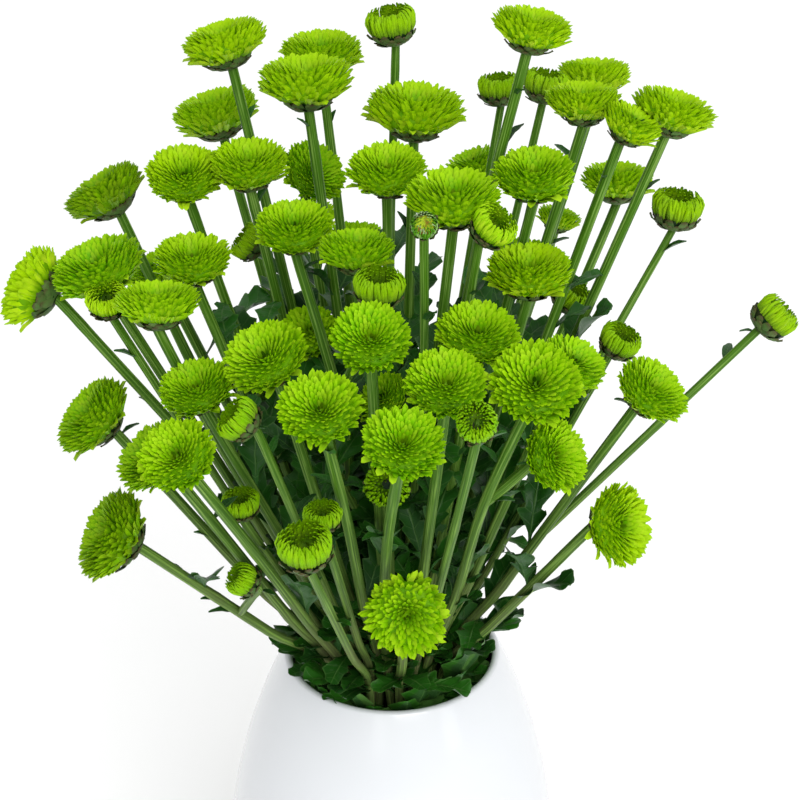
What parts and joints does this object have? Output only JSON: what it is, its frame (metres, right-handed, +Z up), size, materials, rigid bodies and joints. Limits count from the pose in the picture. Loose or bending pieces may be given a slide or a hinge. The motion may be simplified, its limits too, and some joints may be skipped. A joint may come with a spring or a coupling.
{
  "type": "pompon chrysanthemum bunch in vase",
  "caption": "Bunch of lime-green pompon spray chrysanthemums, open heads, cups and buds on long fanned stems, standing in water in a plain egg-shaped white glazed vase.",
  "frame": {"origin": "centre of the vase's flat foot, on the surface it stands on", "axes": "+Z up, -Y towards the front of the bunch, +X to the right seen from the front"},
  "size_m": [0.3389, 0.3205, 0.5102],
  "materials": {
    "glaze": "smooth white gloss glaze",
    "water": "clear",
    "stems": "ribbed mid-green stems and calyces, dark green leaves, half-open cups and buds",
    "florets": "lime-green florets, darker at the centre"
  },
  "bodies": {
    "root": {"head_a1": "florets", "head_a2_a3": "florets", "head_a5_b1": "florets", "head_a6": "florets", "head_a7": "florets", "head_b2": "florets", "head_b3": "florets", "head_b4": "florets", "head_b5": "florets", "head_b7": "florets", "head_c1": "florets", "head_c3": "florets", "head_c4": "florets", "head_c7": "florets", "head_d1": "florets", "head_d2": "florets", "head_d5": "florets", "head_d6": "florets", "head_e1": "florets", "head_e2": "florets", "head_e3": "florets", "head_e4": "florets", "head_e5": "florets", "head_e6": "florets", "head_f2_f4_f5": "florets", "head_f3": "florets", "head_g1": "florets", "head_g2": "florets", "head_g3": "florets", "head_g4": "florets", "head_g6": "florets", "head_h1": "florets", "head_h2": "florets", "head_h3": "florets", "head_h4": "florets", "head_h5": "florets", "head_h6": "florets", "head_i1": "florets", "head_i2": "florets", "head_i3": "florets", "head_i4": "florets", "head_i5": "florets", "head_i6": "florets", "head_j1": "florets", "head_j2": "florets", "head_j3_j4": "florets", "head_j5": "florets", "head_j6": "florets", "spray_a_stems": "stems", "spray_b_stems": "stems", "spray_c_stems": "stems", "spray_d_stems": "stems", "spray_e_stems": "stems", "spray_f_stems": "stems", "spray_g_stems": "stems", "spray_h_stems": "stems", "spray_i_stems": "stems", "spray_j_stems": "stems", "vase": "glaze", "water": "water"}
  },
  "joints": []
}
